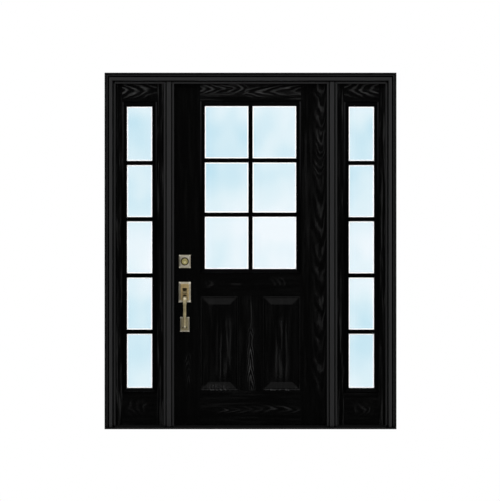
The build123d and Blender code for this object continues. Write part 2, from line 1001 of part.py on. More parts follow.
with BuildPart() as handle_plate_upper:
    plate(
        leaf_y,
        OUTSIDE,
        upper_centre,
        (upper_plate_width, upper_plate_height),
        upper_plate_border,
        plate_edge,
        plate_thickness,
    )
    block(
        (lock_x - thumb_slot_width / 2, lock_x + thumb_slot_width / 2),
        (leaf_y - plate_thickness, leaf_y),
        (handle_height - thumb_slot_drop, handle_height + thumb_slot_rise),
        mode=Mode.SUBTRACT,
    )
    for span in lug_spans:
        block(
            span,
            (leaf_y, thumb_pivot_y),
            (thumb_pivot_z - thumb_lug_radius, thumb_pivot_z + thumb_lug_radius),
        )
        thumb_axis_bar(span, thumb_lug_radius)
        thumb_axis_bar(span, thumb_pin_radius + thumb_pin_clearance, mode=Mode.SUBTRACT)
save(handle_plate_upper, "handle_plate_upper")

# Thumb latch: dished pad outside, neck through the slot, tail in the bore, and its pin
pad_back_y = leaf_y - plate_thickness - thumb_pad_clearance
neck_low = thumb_pivot_z - thumb_neck_height / 2
neck_high = thumb_pivot_z + thumb_neck_height / 2
pad_slope = math.radians(thumb_pad_angle)
pad_tip_y = pad_back_y - thumb_pad_length * math.cos(pad_slope)
pad_plane = Plane(
    origin=(lock_x, pad_back_y, neck_high - thumb_pad_thickness),
    x_dir=(1, 0, 0),
    z_dir=(0, -math.cos(pad_slope), -math.sin(pad_slope)),
)
half_pad = thumb_pad_width / 2
half_flat = thumb_pad_flat / 2
with BuildPart() as thumb_latch:
    with BuildSketch(pad_plane) as trough:
        with BuildLine():
            Polyline(
                (-half_pad, thumb_pad_dish),
                (-half_flat, 0),
                (half_flat, 0),
                (half_pad, thumb_pad_dish),
                (half_pad, thumb_pad_dish + thumb_pad_thickness),
                (half_flat, thumb_pad_thickness),
                (-half_flat, thumb_pad_thickness),
                (-half_pad, thumb_pad_dish + thumb_pad_thickness),
                close=True,
            )
        make_face()
    extrude(trough.sketch, amount=thumb_pad_length)
    with BuildSketch(Plane.XY.offset(neck_low - thumb_pad_length)) as pad_outline:
        with Locations((lock_x, (pad_tip_y + pad_back_y) / 2)):
            Rectangle(thumb_pad_width, pad_back_y - pad_tip_y)
        fillet(pad_outline.vertices().group_by(Axis.Y)[0], radius=thumb_pad_round)
    extrude(pad_outline.sketch, amount=2 * thumb_pad_length, mode=Mode.INTERSECT)
    block(
        (lock_x - thumb_neck_width / 2, lock_x + thumb_neck_width / 2),
        (pad_back_y - thumb_pad_thickness, thumb_pivot_y + thumb_tail_length),
        (neck_low, neck_high),
    )
    thumb_axis_bar((lug_spans[0][0], lug_spans[1][1]), thumb_pin_radius)
save(thumb_latch, "thumb_latch")

# Grip: leaves the upper plate, drops in front of the leaf and returns to the lower plate
lower_centre = (lock_x, lower_plate_z)
plate_face_y = leaf_y - plate_thickness
grip_y = leaf_y - grip_reach
grip_top_z = handle_height - upper_plate_height / 2 + grip_top_inset
grip_foot_z = lower_plate_z - lower_plate_height / 2 + grip_foot_inset
shoulder_z = grip_top_z - grip_shoulder
heel_z = grip_foot_z + grip_heel
grip_stations = [
    (plate_face_y, grip_top_z, grip_top_width),
    (plate_face_y - grip_depth, grip_top_z - 1, grip_top_width),
    (grip_y + grip_depth, grip_top_z - grip_shoulder / 4, grip_top_width),
    (grip_y, shoulder_z, grip_top_width * 0.85),
    (grip_y, (shoulder_z + heel_z) / 2, (grip_top_width + grip_waist_width) / 2 - 3),
    (grip_y, heel_z, grip_waist_width),
    (grip_y + grip_depth, grip_foot_z + grip_heel / 4, grip_waist_width + 1),
    (plate_face_y - grip_depth, grip_foot_z + 1, (grip_waist_width + grip_foot_width) / 2),
    (plate_face_y, grip_foot_z, grip_foot_width),
]
with BuildPart() as handle_grip:
    with BuildLine() as grip_line:
        Spline(
            *[(lock_x, y, z) for y, z, _ in grip_stations],
            tangents=((0, -1, 0), (0, 1, 0)),
        )
    grip_curve = grip_line.edges()[0]
    sections = []
    for y, z, width in grip_stations:
        station = grip_curve.param_at_point((lock_x, y, z))
        across_grip = Plane(
            origin=(lock_x, y, z),
            x_dir=(1, 0, 0),
            z_dir=grip_curve.tangent_at(station),
        )
        with BuildSketch(across_grip) as section:
            RectangleRounded(width, grip_depth, grip_corner)
        sections.append(section.sketch)
    loft(sections)
save(handle_grip, "handle_grip")

with BuildPart() as handle_plate_lower:
    plate(
        leaf_y,
        OUTSIDE,
        lower_centre,
        (lower_plate_width, lower_plate_height),
        lower_plate_border,
        plate_edge,
        plate_thickness,
    )
save(handle_plate_lower, "handle_plate_lower")

# Inside knob on its rose
knob_profile = [
    (0, 0),
    (knob_rose_radius, 0),
    (knob_rose_radius, knob_rose_thickness - knob_edge),
    (knob_rose_radius - knob_edge, knob_rose_thickness),
    (knob_neck_radius, knob_rose_thickness),
    (knob_neck_radius, knob_rose_thickness + knob_neck_length),
    (knob_radius - knob_edge, knob_rose_thickness + knob_neck_length + 2 * knob_edge),
    (knob_radius, knob_rose_thickness + knob_neck_length + 4 * knob_edge),
    (knob_radius, knob_projection - 3 * knob_edge),
    (knob_face_radius, knob_projection),
    (0, knob_projection),
]
knob_centre = (lock_x, leaf_inner_y, handle_height)
with BuildPart() as inside_knob:
    with BuildSketch(Plane(origin=knob_centre, x_dir=(1, 0, 0), z_dir=(0, 0, 1))) as outline:
        with BuildLine():
            Polyline(*knob_profile, close=True)
        make_face()
    revolve(outline.sketch, axis=Axis(knob_centre, (0, 1, 0)))
save(inside_knob, "inside_knob")
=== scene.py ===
import math
from collections import namedtuple

import bmesh
import bpy
from mathutils import Matrix, Vector


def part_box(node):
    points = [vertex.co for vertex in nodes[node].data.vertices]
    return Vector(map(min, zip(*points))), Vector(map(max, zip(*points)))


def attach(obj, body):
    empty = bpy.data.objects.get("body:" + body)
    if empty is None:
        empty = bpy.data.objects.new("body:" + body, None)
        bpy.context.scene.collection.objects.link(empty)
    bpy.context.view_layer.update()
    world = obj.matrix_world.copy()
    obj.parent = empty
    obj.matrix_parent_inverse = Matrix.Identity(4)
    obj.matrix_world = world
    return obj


# Entrance door with two sidelites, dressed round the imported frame.
# Lengths are in metres, +X to the right from outside, the outside faces -Y, +Z is up.

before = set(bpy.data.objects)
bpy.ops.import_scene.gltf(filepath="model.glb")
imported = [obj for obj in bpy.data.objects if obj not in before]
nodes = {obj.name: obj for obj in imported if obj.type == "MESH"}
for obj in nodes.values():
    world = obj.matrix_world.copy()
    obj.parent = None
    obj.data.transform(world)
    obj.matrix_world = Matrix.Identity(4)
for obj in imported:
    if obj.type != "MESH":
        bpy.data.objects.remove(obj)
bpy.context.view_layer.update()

# Photo's scale and the place of the object's foot in its frame of 500 x 501 pixels
METRES_PER_PIXEL = 0.00584
PHOTO_HEIGHT_PX = 501
PHOTO_MIDDLE_PX = (250.0, 250.5)
DOOR_MIDDLE_PX = 250.5
FOOT_PX = 429.24
CAMERA_DISTANCE = 6.0

# Places that the small pieces share with the frame
HINGE_HEIGHTS = (0.280, 1.063, 1.846)
LOCK_HEIGHTS = (0.801, 0.980)
LOCK_X = -0.384
LEAF_MIDDLE_Y = 0.0935
SIDELITE_MIDDLE_Y = 0.0885
SIDELITE_X = 0.6475

# Light of the studio at the sine of each elevation, from straight down to straight up
STUDIO_STOPS = [
    (-1.0, 0.90),
    (-0.36, 0.80),
    (-0.20, 0.03),
    (0.0, 0.0),
    (0.20, 0.03),
    (0.36, 0.90),
    (1.0, 1.10),
]

# Tones of antique brass from tarnished to the painted highlight, the colour of dark patina and painted
# shade in its recesses, and a dark brown for painted shade and dark rings
BRASS = ((0.20, 0.155, 0.070), (0.31, 0.260, 0.145), (0.42, 0.375, 0.250))
YELLOW_BRASS = ((0.26, 0.215, 0.070), (0.46, 0.400, 0.160), (0.85, 0.790, 0.420))
BRASS_HIGHLIGHT = (0.80, 0.73, 0.53)
GREY_BRASS = ((0.22, 0.196, 0.136), (0.70, 0.655, 0.555))
GOLDEN_BRASS = ((0.30, 0.220, 0.100), (0.62, 0.460, 0.215))
DULL_BRASS = ((0.24, 0.200, 0.115), (0.42, 0.365, 0.230))
RECESS_PATINA_AND_SHADE = (0.030, 0.018, 0.004, 1.0)
DARK_BROWN = (0.045, 0.032, 0.010, 1.0)

# Painted highlight along the upright outer edges of the glazing trim: how far from the edge, from which
# height it starts and over what height it grows, and the colour
EDGE_HIGHLIGHT_REACH = 0.0065
EDGE_HIGHLIGHT_START = 1.30
EDGE_HIGHLIGHT_GROWTH = 0.60
EDGE_HIGHLIGHT = (0.012, 0.012, 0.0125, 1.0)

# Black painted shade down in the quirks of the painted frame
QUIRK_PAINTED_SHADE = (0.0002, 0.0002, 0.0002, 1.0)

# The outer pane, and the painted sky reflection in the inner one's tint from its bluest to its clearest
OUTER_PANE = (0.995, 0.998, 1.0, 1.0)
PAINTED_SKY_REFLECTION = [(0.0, (0.735, 0.880, 0.938)), (0.5, (0.855, 0.937, 0.968)), (1.0, (0.938, 0.972, 0.993))]

# Share of light that glass mirrors when it is seen from the very side
GLANCING_MIRROR = 0.80

# Directions for grain
UP = "up"
LEVEL = "level"

# Figures in the wood, each round a place. Arches are tips one behind the other along the grain,
# period apart, rounded by tip, with legs slope times as long as they are wide. points is 1 where
# the tips point up or right and -1 where they point down or left, and spread widens the legs on
# the side of the smaller x or z.
Arches = namedtuple("Arches", "x z points length width strength period slope tip spread", defaults=[1.0])
Streaks = namedtuple("Streaks", "x z length width strength")


class Graph:
    """A material's nodes, added and linked with short calls."""

    def __init__(self, name):
        self.material = bpy.data.materials.new(name)
        self.material.use_nodes = True
        self.tree = self.material.node_tree
        self.tree.nodes.clear()
        self.out = self.add("ShaderNodeOutputMaterial")

    def add(self, kind, **settings):
        node = self.tree.nodes.new(kind)
        for key, value in settings.items():
            setattr(node, key, value)
        return node

    def link(self, source, target):
        self.tree.links.new(source, target)

    def feed(self, socket, value):
        """Sets a socket to a number or colour, or links it to another node's output."""
        if isinstance(value, bpy.types.NodeSocket):
            self.link(value, socket)
        else:
            socket.default_value = value

    def split(self, vector):
        """A vector's X, Y and Z."""
        node = self.add("ShaderNodeSeparateXYZ")
        self.link(vector, node.inputs[0])
        return node.outputs

    def mix(self, factor, first, second):
        """A colour that runs from the first to the second as the factor runs from 0 to 1."""
        node = self.add("ShaderNodeMix", data_type="RGBA")
        self.link(factor, node.inputs["Factor"])
        self.feed(node.inputs["A"], first)
        self.feed(node.inputs["B"], second)
        return node.outputs["Result"]

    def math(self, operation, first, second=0.0, third=0.0, clamp=False):
        node = self.add("ShaderNodeMath", operation=operation, use_clamp=clamp)
        for socket, value in zip(node.inputs, (first, second, third)):
            self.feed(socket, value)
        return node.outputs[0]

    def place(self):
        """The point's place in the row's frame, in metres."""
        return self.add("ShaderNodeTexCoord").outputs["Object"]

    def scaled(self, vector, scale, shift=(0.0, 0.0, 0.0)):
        node = self.add("ShaderNodeMapping")
        self.link(vector, node.inputs["Vector"])
        node.inputs["Scale"].default_value = scale
        node.inputs["Location"].default_value = shift
        return node.outputs[0]

    def noise(self, vector, scale, detail=2.0, roughness=0.5, distortion=0.0):
        node = self.add("ShaderNodeTexNoise")
        self.link(vector, node.inputs["Vector"])
        node.inputs["Scale"].default_value = scale
        node.inputs["Detail"].default_value = detail
        node.inputs["Roughness"].default_value = roughness
        node.inputs["Distortion"].default_value = distortion
        return node.outputs["Fac"]

    def ramp(self, factor, stops, smooth=False):
        """A colour ramp; each stop is a place and a grey level or a colour."""
        node = self.add("ShaderNodeValToRGB")
        if smooth:
            node.color_ramp.interpolation = "EASE"
        elements = node.color_ramp.elements
        while len(elements) < len(stops):
            elements.new(0.5)
        for element, (position, colour) in zip(elements, stops):
            element.position = position
            grey = isinstance(colour, (int, float))
            element.color = (colour, colour, colour, 1.0) if grey else (*colour, 1.0)
        self.link(factor, node.inputs["Fac"])
        return node.outputs["Color"]

    def between(self, factor, low, high):
        """A number that runs from low to high as the factor runs from 0 to 1."""
        node = self.add("ShaderNodeMapRange")
        self.link(factor, node.inputs["Value"])
        node.inputs["To Min"].default_value = low
        node.inputs["To Max"].default_value = high
        return node.outputs["Result"]

    def bump(self, height, distance, strength=1.0, normal=None):
        node = self.add("ShaderNodeBump")
        node.inputs["Distance"].default_value = distance
        node.inputs["Strength"].default_value = strength
        self.link(height, node.inputs["Height"])
        if normal is not None:
            self.link(normal, node.inputs["Normal"])
        return node.outputs["Normal"]

    def oval(self, place, x, z, half_width, half_height):
        """Distance in X and Z from a point, as a share of an oval's half width and half height."""
        split = self.split(place)
        side = self.math("DIVIDE", self.math("SUBTRACT", split["X"], x), half_width)
        rise = self.math("DIVIDE", self.math("SUBTRACT", split["Z"], z), half_height)
        square = self.math("MULTIPLY_ADD", side, side, self.math("MULTIPLY", rise, rise))
        return self.math("SQRT", square)

    def painted_shade_openness(self, reach, closed, open_at):
        """Mask for painted shade: 0 where the surface is shut in by others within reach, and 1 where it
        lies open.
        """
        shut = self.add("ShaderNodeAmbientOcclusion", samples=12)
        shut.inputs["Distance"].default_value = reach
        edge = self.add("ShaderNodeMapRange", interpolation_type="SMOOTHSTEP")
        self.link(shut.outputs["AO"], edge.inputs["Value"])
        edge.inputs["From Min"].default_value = closed
        edge.inputs["From Max"].default_value = open_at
        return edge.outputs["Result"]

    def finish(self, colour, roughness, normal=None, **plain):
        """The Principled shader; what plain names is the same all over the surface."""
        shader = self.add("ShaderNodeBsdfPrincipled")
        self.feed(shader.inputs["Base Color"], colour)
        self.feed(shader.inputs["Roughness"], roughness)
        if normal is not None:
            self.link(normal, shader.inputs["Normal"])
        for key, value in plain.items():
            shader.inputs[key.replace("_", " ").title().replace("Ior", "IOR")].default_value = value
        self.link(shader.outputs[0], self.out.inputs["Surface"])
        return self.material


class Grain:
    """Places along and across the grain of one member, bent a little as a tree grows."""

    def __init__(self, graph, along, seed):
        self.graph = graph
        self.along = along
        self.place = graph.place()
        split = graph.split(self.place)
        across, run = split["X"], split["Z"]
        if along == LEVEL:
            across, run = run, across
        bend = self.noise(14.0, 5.0, (seed, 0.0, seed))
        shift = self.noise(9.0, 7.0, (0.0, seed, 3.0))
        self.across = graph.math("MULTIPLY_ADD", bend, 0.034, graph.math("SUBTRACT", across, 0.017))
        self.run = graph.math("MULTIPLY_ADD", shift, 0.13, graph.math("SUBTRACT", run, 0.065))
        self.ripple = self.noise(45.0, 14.0, (seed, 5.0, 0.0))
        swell = self.noise(22.0, 11.0, (4.0, 0.0, seed), 1.0)
        self.swell = graph.ramp(swell, [(0.0, 0.50), (0.36, 0.50), (0.60, 1.0), (1.0, 1.0)], True)

    def noise(self, across, along, shift, detail=2.0, roughness=0.5):
        """A noise with one scale across the grain and another along it."""
        scale = (across, across, along) if self.along == UP else (along, across, across)
        stretched = self.graph.scaled(self.place, scale, shift)
        return self.graph.noise(stretched, 1.0, detail, roughness)

    def heart(self, figure):
        return (figure.x, figure.z) if self.along == UP else (figure.z, figure.x)

    def fade(self, distance, full, gone):
        """1 up to one distance and 0 beyond the other."""
        node = self.graph.add("ShaderNodeMapRange", interpolation_type="SMOOTHSTEP")
        self.graph.link(self.graph.math("ABSOLUTE", distance), node.inputs["Value"])
        node.inputs["From Min"].default_value = full
        node.inputs["From Max"].default_value = gone
        node.inputs["To Min"].default_value = 1.0
        node.inputs["To Max"].default_value = 0.0
        return node.outputs["Result"]

    def bands(self, phase, sharpness):
        """Soft light bands, one for each whole number of the phase."""
        rippled = self.graph.math("MULTIPLY_ADD", self.ripple, 0.9, phase)
        wave = self.graph.math("COSINE", self.graph.math("MULTIPLY", rippled, 2.0 * math.pi))
        wave = self.graph.math("MULTIPLY_ADD", wave, 0.5, 0.5)
        wave = self.graph.math("POWER", wave, sharpness)
        return self.graph.math("MULTIPLY", wave, self.swell)

    def apart(self, figure):
        """Distances from the figure's heart, across the grain and along it."""
        heart_across, heart_run = self.heart(figure)
        side = self.graph.math("SUBTRACT", self.across, heart_across)
        forth = self.graph.math("SUBTRACT", self.run, heart_run)
        return side, forth

    def within(self, figure, side, forth):
        """Full in the middle of the figure's width and length, and nothing beyond them."""
        wide = self.fade(side, 0.25 * figure.width, figure.width)
        long = self.fade(forth, 0.30 * figure.length, 0.55 * figure.length)
        return self.graph.math("MULTIPLY", self.graph.math("MULTIPLY", wide, long), figure.strength)

    def arches(self, figure):
        """Cathedral figure: tips in a row, with legs that run out along the grain."""
        math_node = self.graph.math
        side, forth = self.apart(figure)
        low_side = math_node("MINIMUM", side, 0.0)
        side = math_node("MULTIPLY_ADD", low_side, 1.0 / figure.spread - 1.0, side)
        leg = math_node("SQRT", math_node("MULTIPLY_ADD", side, side, figure.tip ** 2))
        phase = math_node("MULTIPLY", leg, figure.slope / figure.period)
        phase = math_node("MULTIPLY_ADD", forth, figure.points / figure.period, phase)
        return math_node("MULTIPLY", self.bands(phase, 1.5), self.within(figure, side, forth))

    def straight(self, figure, lines):
        """Straight lines of the grain, lighter round one place."""
        return self.graph.math("MULTIPLY", lines, self.within(figure, *self.apart(figure)))


def black_oak(name, along, figures=(), streaks=0.3, seed=0.0):
    """Black stained oak, with straight pores and the given figures.

    streaks is how light the straight lines of its grain are, and seed sets where they run.
    """
    g = Graph(name)
    grain = Grain(g, along, seed)
    pores = grain.noise(420.0, 14.0, (seed, seed, 0.0), 2.0, 0.6)
    broad = grain.noise(75.0, 3.6, (0.0, seed, seed), 3.0, 0.55)
    patches = grain.noise(6.0, 3.0, (seed, 3.0, 0.0))
    patches = g.ramp(patches, [(0.0, 0.40), (0.40, 0.40), (0.60, 1.0), (1.0, 1.0)], True)

    lines = g.ramp(broad, [(0.0, 0.0), (0.44, 0.0), (0.66, 1.0), (1.0, 1.0)], True)
    light = g.math("MULTIPLY", g.math("MULTIPLY", lines, streaks), patches)
    for figure in figures:
        if isinstance(figure, Arches):
            drawn = grain.arches(figure)
        else:
            drawn = grain.straight(figure, lines)
        light = g.math("MAXIMUM", light, drawn)
    light = g.math("MULTIPLY", light, g.math("MULTIPLY_ADD", pores, 1.3, 0.35))
    light = g.math("MULTIPLY_ADD", pores, 0.03, light, clamp=True)

    colour = g.ramp(light, [
        (0.0, (0.0003, 0.0003, 0.0003)),
        (0.25, (0.0045, 0.0045, 0.0045)),
        (0.60, (0.021, 0.021, 0.021)),
        (1.0, (0.070, 0.070, 0.071)),
    ])
    normal = g.bump(g.math("MULTIPLY_ADD", pores, 0.30, light), 0.0003, 0.6)
    return g.finish(colour, g.between(light, 0.25, 0.20), normal, specular_ior_level=0.16)


def frame_paint(name, along=UP, tone=1.0):
    """Black satin paint over a faint wood texture, with black painted shade down in its quirks and
    grooves.
    """
    g = Graph(name)
    place = g.place()
    stretched = (260.0, 260.0, 7.0) if along == UP else (7.0, 260.0, 260.0)
    grain = g.noise(g.scaled(place, stretched), 1.0, 3.0, 0.6)
    cloud = g.noise(place, 3.0, 2.0, 0.5)
    mixed = g.math("MULTIPLY_ADD", cloud, 0.5, g.math("MULTIPLY", grain, 0.5))
    # tone scales the whole paint of a member: painted light and shade on the same black paint
    paint = g.ramp(mixed, [
        (0.0, (0.0095 * tone, 0.0095 * tone, 0.0098 * tone)),
        (0.5, (0.0135 * tone, 0.0135 * tone, 0.0139 * tone)),
        (1.0, (0.0185 * tone, 0.0185 * tone, 0.0189 * tone)),
    ])
    painted_shade_openness = g.painted_shade_openness(0.020, 0.56, 0.86)
    # Painted shade: the paint runs to black where ambient occlusion finds it shut in
    colour = g.mix(painted_shade_openness, QUIRK_PAINTED_SHADE, paint)
    roughness = g.math("MULTIPLY", g.between(grain, 0.38, 0.50), g.between(painted_shade_openness, 0.25, 1.0))
    normal = g.bump(grain, 0.00025, 0.5)
    return g.finish(colour, roughness, normal, specular_ior_level=0.22)


def glazing_trim(name, edges=()):
    """Moulded black trim, the darkest part of the door.

    edges are the x of upright outer edges, where a painted highlight lightens the black from half height
    upwards.
    """
    g = Graph(name)
    place = g.place()
    speck = g.noise(place, 420.0, 2.0, 0.6)
    colour = g.ramp(speck, [(0.0, (0.0003, 0.0003, 0.0003)), (1.0, (0.0010, 0.0010, 0.0011))])
    split = g.split(place)
    # Painted highlight: the black is lighter near the upright outer edges, more so higher up
    highlit = None
    for x in edges:
        away = g.math("ABSOLUTE", g.math("SUBTRACT", split["X"], x))
        away = g.math("DIVIDE", away, EDGE_HIGHLIGHT_REACH)
        near = g.ramp(away, [(0.0, 1.0), (0.6, 1.0), (1.0, 0.0)], True)
        highlit = near if highlit is None else g.math("MAXIMUM", highlit, near)
    if highlit is not None:
        height = g.math("SUBTRACT", split["Z"], EDGE_HIGHLIGHT_START)
        height = g.math("DIVIDE", height, EDGE_HIGHLIGHT_GROWTH, clamp=True)
        colour = g.mix(g.math("MULTIPLY", highlit, height), colour, EDGE_HIGHLIGHT)
    normal = g.bump(speck, 0.00008, 0.4)
    return g.finish(colour, g.between(speck, 0.24, 0.32), normal, specular_ior_level=0.02)


def sill_metal(name):
    """Black anodised sill, brushed along its length."""
    g = Graph(name)
    place = g.place()
    brushed = g.noise(g.scaled(place, (6.0, 900.0, 900.0)), 1.0, 3.0, 0.6)
    scuff = g.noise(place, 14.0, 4.0, 0.6)
    mixed = g.math("MULTIPLY_ADD", scuff, 0.4, g.math("MULTIPLY", brushed, 0.6))
    colour = g.ramp(mixed, [(0.2, (0.0008, 0.0008, 0.0009)), (0.8, (0.0030, 0.0030, 0.0032))])
    normal = g.bump(brushed, 0.0001, 0.35)
    return g.finish(colour, g.between(mixed, 0.30, 0.48), normal, specular_ior_level=0.30)


def seal_rubber(name):
    """Matt black rubber with a faint moulded skin."""
    g = Graph(name)
    skin = g.noise(g.place(), 700.0, 2.0, 0.6)
    colour = g.ramp(skin, [(0.0, (0.003, 0.003, 0.003)), (1.0, (0.010, 0.010, 0.010))])
    normal = g.bump(skin, 0.0001, 0.5)
    return g.finish(colour, g.between(skin, 0.65, 0.8), normal, specular_ior_level=0.3)


def antique_brass(name, tones=BRASS, along=UP, painted_highlights=(), ring=None):
    """Satin antique brass, brushed one way, tarnished in clouds, with dark patina and painted shade
    where it is shut in.

    painted_highlights are painted highlights: the x and z of each one's middle and how far it reaches.
    Beyond ring, a circle given the same way, the metal is dark brown.
    """
    g = Graph(name)
    place = g.place()
    brush = (700.0, 700.0, 25.0) if along == UP else (25.0, 700.0, 700.0)
    lines = g.noise(g.scaled(place, brush), 1.0, 2.0, 0.6)
    tarnish = g.noise(place, 60.0, 4.0, 0.6)
    tarnish = g.math("MULTIPLY_ADD", tarnish, 1.0, -0.23)
    tone = g.math("MULTIPLY_ADD", lines, 0.20, tarnish, clamp=True)
    # Painted highlights: bright spots at the given places
    for x, z, reach in painted_highlights:
        bright = g.ramp(g.oval(place, x, z, reach, reach), [(0.0, 1.0), (1.0, 0.0)], True)
        tone = g.math("MAXIMUM", tone, bright)
    metal = g.ramp(tone, [(0.0, tones[0]), (0.4, tones[1]), (0.75, tones[2]), (1.0, BRASS_HIGHLIGHT)])
    if ring is not None:
        x, z, reach = ring
        from_middle = g.oval(place, x, z, reach, reach)
        beyond = g.ramp(from_middle, [(0.0, 0.0), (0.84, 0.0), (1.0, 1.0)], True)
        metal = g.mix(beyond, metal, DARK_BROWN)
    # Dark patina and painted shade where ambient occlusion finds the metal shut in
    colour = g.mix(g.painted_shade_openness(0.004, 0.20, 0.80), RECESS_PATINA_AND_SHADE, metal)
    normal = g.bump(lines, 0.00006, 0.35)
    return g.finish(colour, g.between(lines, 0.28, 0.42), normal, metallic=0.60)


def brass_plate(name, node, border, field_tones, border_tones, dark_ovals=()):
    """A lock plate: a tarnished field inside a grey border, with painted highlights at its corners.

    border is the border's width. dark_ovals are dark brown ovals: the x and z of each one's middle, its
    half width and half height.
    """
    g = Graph(name)
    place = g.place()
    low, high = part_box(node)
    split = g.split(place)
    lines = g.noise(g.scaled(place, (700.0, 700.0, 25.0)), 1.0, 2.0, 0.6)
    tarnish = g.math("MULTIPLY_ADD", g.noise(place, 70.0, 4.0, 0.6), 1.3, -0.28)
    tone = g.math("MULTIPLY_ADD", lines, 0.25, tarnish, clamp=True)
    to_edges = []
    for axis, socket in ((0, split["X"]), (2, split["Z"])):
        middle = (low[axis] + high[axis]) / 2.0
        half = (high[axis] - low[axis]) / 2.0
        away = g.math("ABSOLUTE", g.math("SUBTRACT", socket, middle))
        to_edges.append(g.math("SUBTRACT", half, away))
    nearest = g.math("MINIMUM", *to_edges)
    farthest = g.math("MAXIMUM", *to_edges)
    rim = g.ramp(g.math("DIVIDE", nearest, border), [(0.0, 1.0), (0.75, 1.0), (1.0, 0.0)], True)
    # Painted highlights: the border is brightest at its corners
    corner = g.math("DIVIDE", farthest, 1.3 * border)
    corner = g.ramp(corner, [(0.0, 1.0), (0.35, 0.8), (1.0, 0.0)], True)
    painted_highlights = g.math("MULTIPLY_ADD", tone, 0.4, g.math("MULTIPLY", corner, 0.6))
    field_colour = g.ramp(tone, [(0.0, field_tones[0]), (1.0, field_tones[1])])
    border_colour = g.ramp(painted_highlights, [(0.0, border_tones[0]), (1.0, border_tones[1])])
    colour = g.mix(rim, field_colour, border_colour)
    # Dark brown ovals; those on the upper plate are painted shade by the thumb slot
    for x, z, half_width, half_height in dark_ovals:
        away = g.oval(place, x, z, half_width, half_height)
        darkened = g.ramp(away, [(0.0, 1.0), (0.78, 1.0), (1.0, 0.0)], True)
        colour = g.mix(darkened, colour, DARK_BROWN)
    # Dark patina and painted shade where ambient occlusion finds the plate shut in
    colour = g.mix(g.painted_shade_openness(0.008, 0.30, 0.90), RECESS_PATINA_AND_SHADE, colour)
    normal = g.bump(lines, 0.00006, 0.35)
    return g.finish(colour, g.between(lines, 0.30, 0.44), normal, metallic=0.55)


def window_glass(name, middle_y, reflection_levels, lean=0.0):
    """Sealed glass: a clear outer pane, and a blue inner one whose tint paints a sky reflection that
    drifts up the window.

    reflection_levels are pairs of a height in metres and how light the painted reflection is there, from
    0 to 1.
    lean is how much lighter it gets for each metre to the right.
    """
    g = Graph(name)
    place = g.place()
    split = g.split(place)
    drift = g.noise(g.scaled(place, (5.5, 1.0, 4.0), (1.7, 0.0, 0.4)), 1.0, 1.5, 0.4)
    # Painted reflection: the inner pane's tint paints the sky's reflection, lighter or bluer by height,
    # to the right and in clouds
    bottom = reflection_levels[0][0]
    reach = reflection_levels[-1][0] - bottom
    height = g.math("DIVIDE", g.math("SUBTRACT", split["Z"], bottom), reach)
    height = g.math("MULTIPLY_ADD", drift, 0.16, g.math("SUBTRACT", height, 0.08))
    painted_reflection = g.ramp(height, [((level - bottom) / reach, light) for level, light in reflection_levels], True)
    painted_reflection = g.math("MULTIPLY_ADD", split["X"], lean, painted_reflection)
    painted_reflection = g.math("MULTIPLY_ADD", drift, 1.1, g.math("SUBTRACT", painted_reflection, 0.55), clamp=True)
    inner = g.math("GREATER_THAN", split["Y"], middle_y)
    clear = g.add("ShaderNodeBsdfTransparent")
    g.link(g.mix(inner, OUTER_PANE, g.ramp(painted_reflection, PAINTED_SKY_REFLECTION)), clear.inputs["Color"])
    gloss = g.add("ShaderNodeBsdfGlossy")
    gloss.inputs["Roughness"].default_value = 0.03
    gloss.inputs["Color"].default_value = (0.95, 0.98, 1.0, 1.0)
    facing = g.add("ShaderNodeLayerWeight")
    facing.inputs["Blend"].default_value = 0.5
    mirror = g.math("POWER", facing.outputs["Facing"], 5.0)
    mirror = g.math("MULTIPLY", mirror, GLANCING_MIRROR)
    mix = g.add("ShaderNodeMixShader")
    g.link(mirror, mix.inputs[0])
    g.link(clear.outputs[0], mix.inputs[1])
    g.link(gloss.outputs[0], mix.inputs[2])
    g.link(mix.outputs[0], g.out.inputs["Surface"])
    return g.material


def white_spacer(name):
    """White coated spacer inside the sealed glass units, with a faint emission that paints extra light
    on it.
    """
    g = Graph(name)
    fine = g.noise(g.place(), 900.0, 2.0, 0.5)
    colour = g.ramp(fine, [(0.0, (0.94, 0.95, 0.96)), (1.0, (0.99, 0.99, 0.99))])
    normal = g.bump(fine, 0.00003, 0.3)
    # Painted light: a faint emission makes the spacer glow though it is no lamp
    return g.finish(colour, g.between(fine, 0.4, 0.5), normal, emission_color=(1.0, 1.0, 1.0, 1.0),
                    emission_strength=0.13)


def dress(material, *names):
    """Gives CAD nodes their material."""
    for name in names:
        mesh = nodes[name].data
        mesh.materials.clear()
        mesh.materials.append(material)


